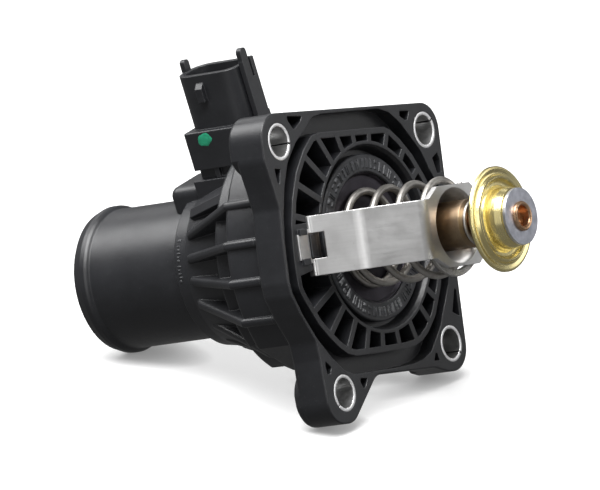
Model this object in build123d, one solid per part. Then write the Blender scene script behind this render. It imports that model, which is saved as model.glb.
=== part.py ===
from build123d import *
import os
import math

# Engine coolant thermostat: a moulded outlet housing with a built-in valve that is
# opened by wax and by an electric heater.
# Frame: +X points out of the mounting face towards the engine (the valve's axis),
# +Z is up towards the plug socket, +Y is to the right when the face is looked at.
# The origin is on the valve's axis, in the plane of the mounting face.

# ------------------------------------------------------------------ dimensions
FLANGE_T = 10.2            # thickness of the bolt lugs
PLATE_T = 8.5              # thickness of the flange between the lugs
LUG_PAD_R = 7.9            # radius of the thicker pad behind each lug
LUG = {                    # centres of the four bolt lugs (y, z)
    "tl": (-35.2, 24.7),
    "tr": (26.2, 24.9),
    "bl": (-21.3, -36.5),
    "br": (26.15, -27.6),
}
SLIT = {"tl": -8.0, "tr": 35.0, "bl": 225.0, "br": -35.0}   # where each sleeve is split
SLEEVE_R = 4.5             # outside radius of a split bolt sleeve
SLEEVE_BORE_R = 3.65       # clearance for an M6 bolt
SLEEVE_SLIT = 0.45

GROOVE_D = 4.0             # depth of the gasket groove
POCKET_D = 15.0            # depth of the coring pockets round the seat
POCKET_RIM = 1.5           # land between the pockets and the gasket groove
POCKET_R = 23.4            # inner radius of the pockets
RIB_W = 1.6                # thickness of the radial ribs between pockets
RIB_ANGLES = [21, 36, 51.5, 68, 84.5, 100, 114, 127.7, 141, 154.6, 168.5,
              191.5, 209, 223, 236.5, 250, 264, 279, 294.5, 310, 323.7, 338]

BORE_R0 = 22.6             # valve bore at the mounting face
BORE_R1 = 21.6             # valve bore at the seat
SEAT_X = -3.72             # plane of the valve seat
SEAT_R = 18.3              # free opening of the seat
CAVITY_R = 21.5

AXIS_Z = -1.6              # height of the hose spigot's axis
SPIGOT_R = 17.3            # hose spigot outside radius
SPIGOT_BORE_R = 14.8
BEAD_R = 18.25             # hose bead at the end of the spigot
BEAD_X = -75.9
SPIGOT_END = -79.5
COLLAR_R = 19.6
COLLAR_X = -46.8
JOIN_SPIGOT = -48.0        # where the moulding's hose spigot ends and its chamber begins
JOIN_FLANGE = -10.2        # where the chamber ends and the flange begins

LOW_CUT = 32.9             # distance of the cut lower left corner from the valve axis
LOW_TURN = 24.6            # and the angle of that cut (degrees)
FIN_T = 2.3                # thickness of the stiffening fins
FIN_X = -41.9              # their noses, just behind the collar
FIN_ANGLES = [159, 175, 190, 206, 226, 243, 262, 281, 300, 318, 338, 356, 14, 32]

PLUG_X = -32.0             # axis of the plug socket, along the housing
PLUG_TILT = 16.2           # the socket leans this far from +Z towards -Y (degrees)
PLUG_MOUTH = 47.6          # radius at which the socket opens
PLUG_BASE_TOP = 34.1       # top of the socket's base
PLUG_NECK_TOP = 24.6       # below this the base is set back
PLUG_BASE_BOTTOM = 22.0

BRIDGE_T = 1.5             # sheet thickness of the spring bridge
BRIDGE_W = 14.4            # width of its legs
BRIDGE_FRONT = 24.0        # front face of its end plate
BRIDGE_TURN = 1.6          # the bridge is turned this far about the valve axis (degrees)
FOOT_X = 0.3               # outer face of its feet

SPRING_R = 11.3            # main spring, centre line radius
SPRING_WIRE = 0.9
SPRING_X0 = -1.68
SPRING_X1 = 21.58
BY_SPRING_R = 5.2          # relief spring, centre line radius
BY_SPRING_WIRE = 0.42
BY_SPRING_X0 = 29.36
BY_SPRING_X1 = 40.42

CASE_R = 5.9               # wax element, outside radius
CASE_BORE_R = 5.0
CASE_END = 28.9
PISTON_R = 2.2

FACE = Plane(origin=(0, 0, 0), x_dir=(0, 1, 0), z_dir=(1, 0, 0))


# ------------------------------------------------------------------ helpers
def face_at(x):
    return Plane(origin=(x, 0, 0), x_dir=(0, 1, 0), z_dir=(1, 0, 0))


def prism(sketch, x0, x1):
    """A sketch drawn in (y, z), pulled from x0 to x1."""
    return extrude(face_at(x0) * sketch, amount=x1 - x0)


def rod(r, x0, x1, y=0.0, z=0.0):
    return prism(Pos(y, z) * Circle(r), x0, x1)


def frustum(r0, r1, x0, x1, z=0.0):
    """A cone frustum along X, radius r0 at x0 and r1 at x1."""
    pts = [(x0, 0, 0), (x1, 0, 0), (x1, 0, r1), (x0, 0, r0)]
    f = make_face(Polyline(*pts, close=True))
    return Pos(0, 0, z) * revolve(f, Axis.X, 360)


def turned(points, z=0.0):
    """A solid of revolution about X from (x, radius) points."""
    f = make_face(Polyline(*[(x, 0, r) for x, r in points], close=True))
    return Pos(0, 0, z) * revolve(f, Axis.X, 360)


def rounded(points):
    """A closed outline from (y, z, radius) corners."""
    pts = [(p[0], p[1]) for p in points]
    return make_face(FilletPolyline(*pts, radius=[p[2] for p in points], close=True))


def block(x0, x1, y0, y1, z0, z1):
    return Pos((x0 + x1) / 2, (y0 + y1) / 2, (z0 + z1) / 2) * Box(
        abs(x1 - x0), abs(y1 - y0), abs(z1 - z0)
    )


def strip_side(points, t):
    """The outline of a bent sheet: outer corners (x, y, inside bend radius), sheet laid to their left."""
    n = len(points)
    inner = []
    for i, (x, y, r) in enumerate(points):
        def normal(a, b):
            dx, dy = b[0] - a[0], b[1] - a[1]
            m = math.hypot(dx, dy)
            return (-dy / m, dx / m)
        if i == 0:
            nx, ny = normal(points[0], points[1])
            inner.append((x + nx * t, y + ny * t))
        elif i == n - 1:
            nx, ny = normal(points[-2], points[-1])
            inner.append((x + nx * t, y + ny * t))
        else:
            n0 = normal(points[i - 1], points[i])
            n1 = normal(points[i], points[i + 1])
            k = 1 + n0[0] * n1[0] + n0[1] * n1[1]
            inner.append((x + (n0[0] + n1[0]) * t / k, y + (n0[1] + n1[1]) * t / k))
    ring, radii = [], []
    for i, (x, y, r) in enumerate(points):
        turn = 0.0
        if 0 < i < n - 1:
            a, b, c = points[i - 1], points[i], points[i + 1]
            turn = (b[0] - a[0]) * (c[1] - b[1]) - (b[1] - a[1]) * (c[0] - b[0])
        ring.append((x, y))
        radii.append(0.12 if i in (0, n - 1) else (r + t if turn > 0 else r))
    for i in range(n - 1, -1, -1):
        x, y, r = points[i]
        turn = 0.0
        if 0 < i < n - 1:
            a, b, c = points[i - 1], points[i], points[i + 1]
            turn = (b[0] - a[0]) * (c[1] - b[1]) - (b[1] - a[1]) * (c[0] - b[0])
        ring.append(inner[i])
        radii.append(0.12 if i in (0, n - 1) else (r if turn > 0 else r + t))
    return make_face(FilletPolyline(*ring, radius=radii, close=True))


def coil(r, wire, x0, x1, turns, start_deg, dead, pitch_ratio, steps=22):
    """A compression spring with close coils at each end, wound as a right-hand screw along +X."""
    n = int(turns * steps)

    def slope(t):
        lo, hi = 1.0, pitch_ratio
        ramp = 0.45
        a = min(max((t - dead) / ramp, 0.0), 1.0)
        b = min(max((turns - dead - t) / ramp, 0.0), 1.0)
        s = min(a, b)
        s = s * s * (3 - 2 * s)
        return lo + (hi - lo) * s

    xs = [0.0]
    for i in range(n):
        t = (i + 0.5) * turns / n
        xs.append(xs[-1] + slope(t))
    k = (x1 - x0) / xs[-1]
    pts = []
    for i in range(n + 1):
        a = math.radians(start_deg) + 2 * math.pi * turns * i / n
        pts.append((x0 + xs[i] * k, r * math.cos(a), r * math.sin(a)))
    path = Spline(*pts)
    section = Plane(origin=path @ 0, z_dir=path % 0) * Circle(wire)
    return sweep(section, path=path, is_frenet=True)


def plug_frame(solid):
    """Moves a solid drawn with +Z outwards from the valve axis into the socket's lean."""
    return solid.rotate(Axis.X, PLUG_TILT)


def soften(shape, edges, r):
    """Rounds edges, with a smaller radius or a chamfer where the full radius doesn't fit."""
    edges = list(edges)
    for k in (1.0, 0.6):
        try:
            out = fillet(edges, r * k)
            if out.is_valid and out.volume > 0:
                return out
        except Exception:
            pass
    try:
        out = chamfer(edges, r * 0.5)
        if out.is_valid and out.volume > 0:
            return out
    except Exception:
        pass
    print("NOTE an edge stays sharp, radius", r)
    return shape


def save(shape, name):
    solids = shape.solids()
    if len(solids) != 1:
        print("NOTE", name, "has", len(solids), "solids")
    export_step(shape if len(solids) != 1 else solids[0], "parts/" + name + ".step")


os.makedirs("parts", exist_ok=True)

# ------------------------------------------------------------------ flange
# Outline of the mounting flange, looked at from the engine side (y, z, corner radius).
FLANGE = [
    (-42.3, 31.6, 6.8), (-42.3, 20.4, 5), (-39.9, 13.2, 3), (-38.6, 8.6, 3),
    (-38.9, 1.0, 6), (-38.95, -9.0, 5), (-38.2, -12.3, 4), (-35.3, -17.2, 8),
    (-30.5, -23.6, 3), (-29.7, -28.0, 3), (-29.4, -33.0, 6), (-28.5, -43.9, 6.6),
    (-18.6, -43.9, 6.0), (-7.1, -33.1, 5), (18.0, -33.0, 8), (24.0, -34.4, 4),
    (32.65, -34.4, 6.4), (32.65, 31.6, 6.5),
]
# Outline of the plate inside the gasket groove.
INNER = [
    (-18.2, 26.2, 2.5), (-21.6, 25.6, 2), (-25.6, 22.3, 5), (-29.7, 17.2, 6),
    (-32.8, 10.6, 6), (-34.5, 4.5, 6), (-35.0, -1.0, 6), (-35.0, -6.0, 6),
    (-34.6, -10.8, 4), (-32.9, -13.6, 5), (-28.2, -19.7, 6), (-24.7, -22.8, 6),
    (-21.1, -25.5, 5), (-17.8, -27.3, 4), (-14.5, -28.0, 3), (-4.0, -27.9, 6),
    (6.5, -27.6, 6), (10.6, -27.2, 5), (14.0, -26.1, 4), (16.9, -24.3, 4),
    (20.9, -20.4, 6), (24.9, -13.2, 8), (27.2, -5.0, 8), (27.9, 2.0, 8),
    (27.0, 8.4, 8), (23.6, 13.9, 6), (19.5, 19.2, 6), (15.0, 23.2, 6),
    (11.6, 25.5, 2.5), (9.0, 26.4, 2.5),
]
# Outline of the groove's outer wall.
GROOVE = [
    (-16.5, 30.6, 3), (-20.5, 30.0, 2.5), (-23.4, 27.6, 2.5), (-28.6, 24.2, 6),
    (-32.9, 19.6, 6), (-35.5, 13.7, 6), (-37.4, 6.5, 8), (-38.1, 1.0, 8),
    (-38.2, -8.6, 5), (-37.6, -11.5, 4), (-34.6, -16.8, 8), (-29.8, -23.0, 8),
    (-25.0, -27.6, 6), (-20.4, -31.1, 3), (-16.5, -32.35, 3), (2.5, -31.9, 6),
    (9.5, -31.4, 5), (13.6, -30.6, 4), (17.3, -29.0, 4), (22.5, -23.2, 6),
    (28.2, -13.0, 8), (30.7, -4.5, 8), (31.2, 2.5, 8), (30.2, 9.6, 8),
    (26.3, 15.3, 6), (23.5, 19.9, 6), (16.3, 27.0, 5), (12.0, 29.8, 3), (7.5, 30.9, 4),
]
flange_face = rounded(FLANGE)
inner_face = rounded(INNER)

flange = prism(flange_face, -PLATE_T, 0)
flange = soften(flange, flange.faces().sort_by(Axis.X)[0].outer_wire().edges(), 1.2)
for key, (y, z) in LUG.items():
    lug_pad = prism(flange_face & (Pos(y, z) * Circle(LUG_PAD_R)), -FLANGE_T, -PLATE_T + 1.6)
    lug_pad = soften(lug_pad, lug_pad.faces().sort_by(Axis.X)[0].outer_wire().edges(), 1.9 if key == "bl" else 1.1)
    flange = flange + lug_pad
flange = soften(flange, flange.faces().sort_by(Axis.X)[-1].outer_wire().edges(), 0.35)

# ------------------------------------------------------------------ body behind the flange
# Stepped rings: the widest backs the coring pockets, then they close in on the spigot.
# the lower left corner is cut off at an angle
low_corner = block(-60, 2, -60, 60, -60, -LOW_CUT).rotate(Axis.X, -LOW_TURN)
ring3 = prism(
    (Pos(0, -1.2) * Circle(35.6)) & (Pos(-6.0, -0.7) * RectangleRounded(67.4, 57.4, 8)),
    -19.5, -PLATE_T + 0.4,
)
ring3 = ring3 - low_corner
ring3 = soften(ring3, ring3.faces().sort_by(Axis.X)[0].outer_wire().edges(), 1.1)
ring2 = prism(
    (Pos(0, -1.3) * Circle(29.8)) & (Pos(-1.5, -0.9) * RectangleRounded(58.0, 54.5, 7)),
    -27.0, -19.2,
)
ring2 = soften(ring2, ring2.faces().sort_by(Axis.X)[0].outer_wire().edges(), 1.1)

# Cone, collar, spigot and hose bead are one turned outline.
body = turned(
    [
        (SPIGOT_END, 0), (SPIGOT_END, SPIGOT_R - 0.7), (SPIGOT_END + 0.7, SPIGOT_R + 0.1),
        (BEAD_X - 1.3, BEAD_R - 0.25), (BEAD_X - 0.6, BEAD_R), (BEAD_X + 0.6, BEAD_R),
        (BEAD_X + 1.2, BEAD_R - 0.35), (BEAD_X + 1.7, SPIGOT_R + 0.05),
        (BEAD_X + 2.1, SPIGOT_R),
        (COLLAR_X - 1.2, SPIGOT_R), (COLLAR_X - 0.5, SPIGOT_R + 0.5),
        (COLLAR_X, COLLAR_R - 0.5), (COLLAR_X + 0.5, COLLAR_R),
        (COLLAR_X + 4.0, COLLAR_R + 0.5), (-38.0, 21.6), (-27.5, 24.6), (-19.0, 25.0),
        (-9.0, 25.0), (-9.0, 0),
    ],
    AXIS_Z,
)

# Fins: flat webs that run from the collar to the back of the flange.
FIN_SIDE = [(FIN_X, 20.5), (FIN_X + 1.1, 22.1), (-19.5, 36.3), (-8.1, 36.8)]
FIN_CORNER = [(FIN_X, 20.0), (FIN_X + 1.1, 21.2), (-20.0, 33.2), (-8.1, 36.8)]
FIN_LOW = [(FIN_X, 20.3), (FIN_X + 1.1, 21.2), (-33.6, 23.8), (-26.5, 28.0), (-19.5, 31.2), (-8.1, 31.4)]


def fin_web(top):
    face = make_face(Polyline(*[(x, 0, r) for x, r in [(FIN_X, 14)] + top + [(-8.1, 14)]], close=True))
    web = extrude(face, amount=FIN_T / 2, dir=(0, 1, 0), both=True)
    return soften(
        web,
        [e for e in web.edges() if e.center().Z > 19 and abs(abs(e.center().Y) - FIN_T / 2) < 0.01
         and abs(e.center().X + 8.1) > 0.3 and abs(e.center().X - FIN_X) > 0.3], 0.95)


fin_side, fin_corner, fin_low = fin_web(FIN_SIDE), fin_web(FIN_CORNER), fin_web(FIN_LOW)
fin_limit = prism(
    (Pos(0, -1.4) * Circle(36.8)) & (Pos(-4.0, -0.9) * RectangleRounded(70.0, 61.0, 7)),
    -60, 0,
)
fins = []
for a in FIN_ANGLES:
    web = fin_corner if a == 226 else fin_low if 240 < a < 305 else fin_side
    fins.append(((Pos(0, 0, -1.4) * web.rotate(Axis.X, a - 90)) & fin_limit) - low_corner)
# The uppermost fin on the left runs level, below the socket.
fin_top = extrude(
    make_face(
        Polyline(
            (-41.9, -15.0, 0), (-41.5, -18.1, 0), (-18.0, -29.0, 0), (-14.5, -30.0, 0),
            (-14.5, -12.0, 0), (-41.9, -12.0, 0), close=True,
        )
    ),
    amount=2.4,
)
fin_top = Pos(0, 0, 9.6) * fin_top.rotate(Axis((0, -16, 0), (1, 0, 0)), -22)

# Boss that takes the socket, and the rounded pad that runs back from it.
boss = plug_frame(block(-42.2, -20.6, -7.6, 7.6, 4, PLUG_BASE_BOTTOM))
pad = plug_frame(block(-51.2, -40.0, -7.2, 7.2, 4, 20.9))
pad = soften(pad, [e for e in pad.edges() if e.center().X < -50 or (e.center().rotate(Axis.X, -PLUG_TILT).Z > 20)], 2.4)

housing = flange + ring3 + ring2 + body + boss + pad
for f in fins:
    housing = housing + f
housing = housing + fin_top

# the seat of the plug socket is cut clear of the rings and fins round it
housing = housing - plug_frame(block(-42.45, -21.2, -7.5, 7.5, PLUG_BASE_BOTTOM, 40))

# ------------------------------------------------------------------ hollow inside
housing = housing - turned(
    [(SPIGOT_END - 1, 0), (SPIGOT_END - 1, SPIGOT_BORE_R + 0.4), (SPIGOT_END + 0.5, SPIGOT_BORE_R),
     (-46, SPIGOT_BORE_R), (-46, 0)], AXIS_Z)
housing = housing - turned(
    [(-46.2, 0), (-46.2, SPIGOT_BORE_R), (-41.0, 16.2), (-27.0, 19.8), (-22.0, 20.0), (-22.0, 0)], AXIS_Z)
housing = housing - turned(
    [(-22.5, 0), (-22.5, 19.0), (-21.0, CAVITY_R), (-7.2, CAVITY_R), (-6.4, SEAT_R), (-6.4, 0)])
housing = housing - rod(SEAT_R, -6.6, SEAT_X + 0.1)
housing = housing - turned(
    [(SEAT_X, 0), (SEAT_X, BORE_R1), (-1.0, BORE_R0 - 0.5), (0.2, BORE_R0 + 0.1), (0.2, 0)])

# Hub that carries the piston, on three arms; the arm under the socket also takes the leads.
hub = rod(6.4, -38.4, -24.6)
hub = soften(hub, hub.edges().filter_by(GeomType.CIRCLE), 1.2)
arm_up = plug_frame(block(-38.6, -26.4, -3.2, 3.2, 2, 21.0))
arm_a = block(-36.0, -28.5, -1.7, 1.7, -21.0, -3).rotate(Axis.X, PLUG_TILT - 60)
arm_b = block(-36.0, -28.5, -1.7, 1.7, -21.0, -3).rotate(Axis.X, PLUG_TILT + 60)
housing = housing + arm_up + hub + arm_a + arm_b
# piston seat, and the lead chamber behind it
housing = housing - rod(PISTON_R + 0.01, -33.0, -24.0)
housing = housing - rod(2.0, -36.6, -32.9)
# lead channel and the stepped bore for the socket's stem
housing = housing - plug_frame(block(-36.4, -33.6, -1.6, 1.6, 0, 12.5))
housing = housing - plug_frame(block(-36.4, -28.4, -1.6, 1.6, 11.8, 22.5))
housing = housing - plug_frame(Pos(PLUG_X, 0, 13.0) * Cylinder(7.0, 12, align=(Align.CENTER, Align.CENTER, Align.MIN)))

# ------------------------------------------------------------------ face details
groove = prism(rounded(GROOVE) - inner_face, -GROOVE_D, 0.5)
housing = housing - groove

pocket_zone = offset(inner_face, amount=-POCKET_RIM, kind=Kind.ARC) - Circle(POCKET_R)
ribs = None
for a in RIB_ANGLES:
    bar = Rot(0, 0, a) * (Pos(30, 0) * Rectangle(20, RIB_W))
    ribs = bar if ribs is None else ribs + bar
# the two feet of the bridge need solid ground
foot_zone = (Rot(0, 0, 180 + BRIDGE_TURN) * (Pos(29, 0) * Rectangle(14, 11.2))) + (
    Rot(0, 0, BRIDGE_TURN) * (Pos(27, 0) * Rectangle(14, 11.2)))
pockets = pocket_zone - ribs - foot_zone
for f in pockets.faces():
    if f.area < 3.0:
        continue
    try:
        g = fillet(f.vertices(), 0.35)
    except Exception:
        g = f
    housing = housing - prism(g, -POCKET_D, 0.5)

# small coring pockets in the corners of the flange
CORNER = [
    [(-30.9, 30.6), (-24.7, 30.4), (-25.4, 29.2), (-28.1, 27.5), (-28.9, 27.5), (-30.7, 29.5)],
    [(-38.6, 18.4), (-36.1, 18.1), (-37.2, 14.7), (-37.9, 14.7)],
    [(16.5, 29.9), (20.5, 29.8), (19.6, 27.7), (18.3, 27.6), (16.3, 28.7)],
    [(28.0, 17.9), (30.4, 19.2), (31.3, 17.4), (31.1, 14.2), (29.4, 14.0)],
    [(30.4, -14.3), (31.2, -14.8), (31.3, -21.2), (28.3, -20.0)],
    [(17.9, -31.3), (20.3, -31.4), (19.6, -29.5), (18.9, -29.4)],
    [(-27.7, -28.4), (-25.5, -30.0), (-26.1, -31.5), (-27.5, -31.7), (-27.9, -29.6)],
    [(-14.0, -33.4), (-11.1, -33.6), (-12.3, -35.6), (-13.3, -36.0), (-14.3, -34.2)],
]
for c in CORNER:
    g = make_face(Polyline(*c, close=True))
    g = fillet(g.vertices(), 0.2)
    housing = housing - prism(g, -5.0, 0.5)

# bores for the split sleeves
for y, z in LUG.values():
    housing = housing - rod(SLEEVE_R, -FLANGE_T - 1, 1, y, z)

# ------------------------------------------------------------------ seats and hooks for the bridge
turn_all = lambda s: s.rotate(Axis.X, BRIDGE_TURN)
half = BRIDGE_W / 2
seat_x = FOOT_X - BRIDGE_T - 0.02
recess = block(seat_x, 3, -33.1, -28.5, -3.2, 3.2) + block(seat_x, 3, -29.1, -28.0, -4.3, 4.3) + block(seat_x, 3, -28.1, -19.0, -half - 0.2, half + 0.2)
recess = recess + block(seat_x, 3, 24.5, 27.5, -3.2, 3.2) + block(seat_x, 3, 19.0, 25.3, -half - 0.2, half + 0.2)
housing = housing - turn_all(recess)
# a post stands in the slot of each foot, and a small hook holds each side of its tab
hooks = block(-6, 0.7, -28.3, -25.9, -2.8, 2.8) + block(-6, -0.2, 23.5, 24.7, -2.8, 2.8)
for y0, y1 in ((-32.4, -29.7), (25.6, 27.2)):
    for k in (-1, 1):
        hooks = hooks + block(-6, 0.95, y0, y1, k * 3.25, k * 4.3) + block(FOOT_X + 0.03, 0.95, y0, y1, k * 2.8, k * 4.3)
housing = housing + turn_all(hooks)

# One moulding, given as three solids that meet face to face: the hose spigot, the chamber and the flange.
spigot_zone = turned(
    [(-90, 0), (-90, 30), (-51.6, 30), (-51.6, SPIGOT_R), (JOIN_SPIGOT, SPIGOT_R), (JOIN_SPIGOT, 0)], AXIS_Z)
chamber = housing - spigot_zone
save(housing & spigot_zone, "housing_spigot")
save(chamber & block(-90, JOIN_FLANGE, -90, 90, -90, 90), "housing")
save(chamber & block(JOIN_FLANGE, 20, -90, 90, -90, 90), "housing_flange")

# ------------------------------------------------------------------ split bolt sleeves
for key, (y, z) in LUG.items():
    s = rod(SLEEVE_R, -FLANGE_T, 0, y, z) - rod(SLEEVE_BORE_R, -FLANGE_T - 1, 1, y, z)
    slit = Pos(0, y, z) * block(-FLANGE_T - 1, 1, 2.0, 6.0, -SLEEVE_SLIT / 2, SLEEVE_SLIT / 2).rotate(Axis.X, SLIT[key])
    save(s - slit, "bolt_sleeve_" + key)

# ------------------------------------------------------------------ spring bridge
# One bent strip with an eight-sided end plate, a drawn funnel for the wax element and a slot in each foot.
side = strip_side(
    [
        (FOOT_X, -32.9, 0), (FOOT_X, -27.3, 0.8), (12.2, -23.7, 5.0), (BRIDGE_FRONT, -12.9, 2.3),
        (BRIDGE_FRONT, 12.9, 1.4), (9.5, 21.8, 1.2), (FOOT_X, 24.0, 0.8), (FOOT_X, 27.3, 0),
    ],
    BRIDGE_T,
)
bridge = extrude(side, amount=half, both=True)
plate = prism(rounded([(-10.9, 7.0, 0.8), (-6.4, 9.9, 1.2), (7.4, 9.9, 1.2), (10.6, 7.0, 0.8),
                       (10.6, -7.0, 0.8), (7.2, -9.8, 1.2), (-5.4, -9.8, 1.2), (-10.9, -7.0, 0.8)]),
              BRIDGE_FRONT - BRIDGE_T, BRIDGE_FRONT)
bridge = bridge + plate
funnel_in = Spline((24.2, 0, 9.35), (23.4, 0, 8.65), (22.2, 0, 8.1), (20.4, 0, 7.4), (18.6, 0, 6.85), (16.9, 0, 6.45))
funnel_out = Spline((17.0, 0, 7.5), (18.6, 0, 7.9), (20.4, 0, 8.5), (21.8, 0, 9.2), (22.7, 0, 9.7))
shell = make_face(Curve() + [
    funnel_out, Line((22.7, 0, 9.7), (22.7, 0, 6.0)), Line((22.7, 0, 6.0), (17.0, 0, 6.0)),
    Line((17.0, 0, 6.0), (17.0, 0, 7.5))])
bridge = bridge + revolve(shell, Axis.X, 360)
void = make_face(Curve() + [
    funnel_in, Line((16.9, 0, 6.45), (16.9, 0, 0)), Line((16.9, 0, 0), (24.2, 0, 0)),
    Line((24.2, 0, 0), (24.2, 0, 9.35))])
bridge = bridge - revolve(void, Axis.X, 360)
bridge = bridge - block(-5, 3.4, -28.5, -20.0, -3.1, 3.1) - block(-5, 6, 23.2, 25.0, -3.1, 3.1)
# outside the bends each foot is only a narrow tab
for k in (-1, 1):
    bridge = bridge - block(-5, 3, -34, -28.9, k * 3.1, k * 9) - block(-5, 3, -29.0, -27.9, k * 4.1, k * 9)
    bridge = bridge - block(-5, 3, 25.2, 29, k * 3.1, k * 9)
bridge = turn_all(bridge)
save(bridge, "bridge_bracket")

# ------------------------------------------------------------------ main spring
save(coil(SPRING_R, SPRING_WIRE, SPRING_X0, SPRING_X1, 4.6, 204, 0.55, 14), "main_spring")

# ------------------------------------------------------------------ valve plate and its rubber lip
valve_plate = turned(
    [(-4.0, 6.0), (-4.0, 15.6), (-3.1, 16.4), (-3.1, 19.0), (-1.95, 19.0), (-1.95, 15.7),
     (-2.6, 15.2), (-2.6, 6.9), (-1.6, 6.5), (-1.6, 6.0)])
save(valve_plate, "valve_plate")
valve_seal = turned(
    [(-1.93, 15.9), (-1.93, 19.02), (-3.12, 19.02), (-3.12, 17.2), (-3.62, 17.6), (-3.62, 20.1),
     (-3.3, 20.4), (-1.45, 20.4), (-1.2, 20.1), (-1.2, 16.2), (-1.45, 15.9)])
save(valve_seal, "valve_seal")

# ------------------------------------------------------------------ wax element
case = turned(
    [(-5.2, CASE_BORE_R), (-5.2, 8.4), (-4.02, 8.4), (-4.02, 5.98), (-3.4, CASE_R),
     (CASE_END - 0.8, CASE_R), (CASE_END, CASE_R - 0.8), (CASE_END, 2.56),
     (25.8, 2.56), (25.8, CASE_BORE_R)])
save(case, "element_case")
guide = turned(
    [(-12.0, PISTON_R + 0.06), (-12.0, 3.4), (-11.4, 4.0), (-6.8, 4.0), (-6.8, 7.4), (-5.22, 7.4),
     (-5.22, CASE_BORE_R - 0.02), (-2.0, CASE_BORE_R - 0.02), (-2.0, PISTON_R + 0.06)])
save(guide, "element_guide")
sleeve = turned(
    [(-1.95, PISTON_R + 0.3), (-1.95, CASE_BORE_R - 0.05), (-1.0, CASE_BORE_R - 0.05), (-0.6, 3.4),
     (22.6, 3.4), (23.2, 2.8), (23.2, 0), (22.4, 0), (22.4, PISTON_R + 0.3)])
save(sleeve, "rubber_sleeve")
wax = turned(
    [(-0.5, 3.45), (-0.5, CASE_BORE_R - 0.05), (25.7, CASE_BORE_R - 0.05), (25.7, 0), (23.3, 0),
     (23.3, 2.85), (22.65, 3.45)])
save(wax, "wax_charge")
piston = turned(
    [(-33.0, 1.35), (-33.0, PISTON_R), (16.4, PISTON_R), (17.2, 1.6), (17.2, 0), (16.2, 0), (16.2, 1.35)])
save(piston, "piston_tube")
save(rod(1.28, -34.7, 15.8), "heater_rod")

# leads from the heater up to the terminals
def lead(points, radii):
    path = FilletPolyline(*points, radius=radii)
    sec = Plane(origin=path @ 0, z_dir=path % 0) * Circle(0.4)
    return plug_frame(sweep(sec, path=path))


save(lead([(-35.12, -0.75, 0.2), (-35.12, -0.75, 13.2), (-34.8, -0.75, 15.6), (-34.8, -0.75, 19.4)], [2.5, 2.5]), "heater_lead_a")
save(lead([(-35.12, 0.75, 0.2), (-35.12, 0.75, 12.6), (-29.2, 0.75, 16.0), (-29.2, 0.75, 19.4)], [1.6, 1.6]), "heater_lead_b")

# ------------------------------------------------------------------ relief valve on the front stem
stem = turned(
    [(25.85, 0), (25.85, 2.54), (29.2, 2.54), (29.2, 3.0), (42.5, 3.0), (42.5, 3.6), (43.0, 3.6),
     (43.4, 3.2), (43.35, 2.85), (43.0, 2.5), (40.4, 2.45), (40.4, 0)])
save(stem, "stem_rivet")
save(turned([(41.68, 3.02), (41.68, 6.87), (42.48, 6.87), (42.48, 3.02)]), "stem_washer")


# The brass disc is a thin pressed shell: rim, ring-shaped step, trough and central cup.
disc = turned(
    [
        (36.05, 12.75), (36.55, 12.75), (36.8, 12.6), (36.9, 12.1), (36.65, 11.2), (36.75, 10.8),
        (37.45, 10.4), (37.7, 10.05), (37.5, 9.7), (36.7, 9.25), (36.4, 8.85), (36.4, 8.15),
        (36.8, 7.8), (39.6, 7.45), (41.2, 7.0), (41.62, 6.4), (41.62, 3.12),
        (40.85, 3.12), (40.85, 6.1), (40.5, 6.45), (39.4, 6.75), (36.6, 7.05), (35.95, 7.3),
        (35.65, 7.9), (35.65, 9.1), (35.95, 9.7), (36.05, 10.6), (35.95, 11.3), (36.1, 12.0),
    ]
)
save(disc, "bypass_disc")
save(coil(BY_SPRING_R, BY_SPRING_WIRE, BY_SPRING_X0, BY_SPRING_X1, 5.0, 40, 0.7, 3.4), "bypass_spring")

# ------------------------------------------------------------------ plug socket
base = Pos(0, 0, PLUG_NECK_TOP) * extrude(make_face(Polyline(
    (-41.5, -7.3), (-21.3, -7.3), (-21.3, 2.3), (-24.8, 7.3), (-41.5, 7.3), close=True)), amount=PLUG_BASE_TOP - PLUG_NECK_TOP)
base = soften(base, base.edges().filter_by(Axis.Z), 0.8)
base = soften(base, base.faces().sort_by(Axis.Z)[-1].edges(), 0.4)
neck = block(-40.8, -22.1, -6.1, 7.0, PLUG_BASE_BOTTOM + 0.02, PLUG_NECK_TOP + 0.4)
neck = soften(neck, neck.edges().filter_by(Axis.Z), 0.8)
tab = block(-35.5, -34.2, -7.0, -6.0, PLUG_BASE_BOTTOM + 0.02, PLUG_NECK_TOP + 0.4)
shroud = Pos(-32.1, 0.5, PLUG_BASE_TOP - 0.5) * extrude(RectangleRounded(18.0, 11.6, 4.6), amount=PLUG_MOUTH - PLUG_BASE_TOP + 0.5)
ear_a = block(-41.3, -40.0, -0.4, 1.8, PLUG_BASE_TOP - 0.5, 50.6)
ear_a = soften(ear_a, ear_a.edges().filter_by(Axis.X).sort_by(Axis.Z)[-2:], 0.9)
wall_b = block(-22.7, -21.4, -2.6, 2.2, PLUG_BASE_TOP - 0.5, 48.8)
wall_b = soften(wall_b, wall_b.edges().filter_by(Axis.X).sort_by(Axis.Z)[-2:], 0.5)
ear_b = block(-22.7, -21.4, -2.5, 0.1, 43.0, 51.7)
ear_b = soften(ear_b, ear_b.edges().filter_by(Axis.X).sort_by(Axis.Z)[-2:], 1.1)
slot_b = block(-24.0, -20.0, 0.1, 0.8, 44.0, 52.0)
web_b = block(-23.8, -22.3, -1.7, 1.7, PLUG_BASE_TOP - 0.5, 44.0)
nub = block(-34.6, -32.6, -6.7, -4.6, 41.0, 45.6)
nub = chamfer(nub.faces().sort_by(Axis.Y)[0].edges().sort_by(Axis.Z)[-1:], 1.2)
stem_s = Pos(PLUG_X, 0, 14.4) * Cylinder(6.85, 8.0, align=(Align.CENTER, Align.CENTER, Align.MIN))
ringcut = Pos(PLUG_X, 0, 17.2) * (Cylinder(8, 2.2) - Cylinder(5.1, 3))
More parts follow.
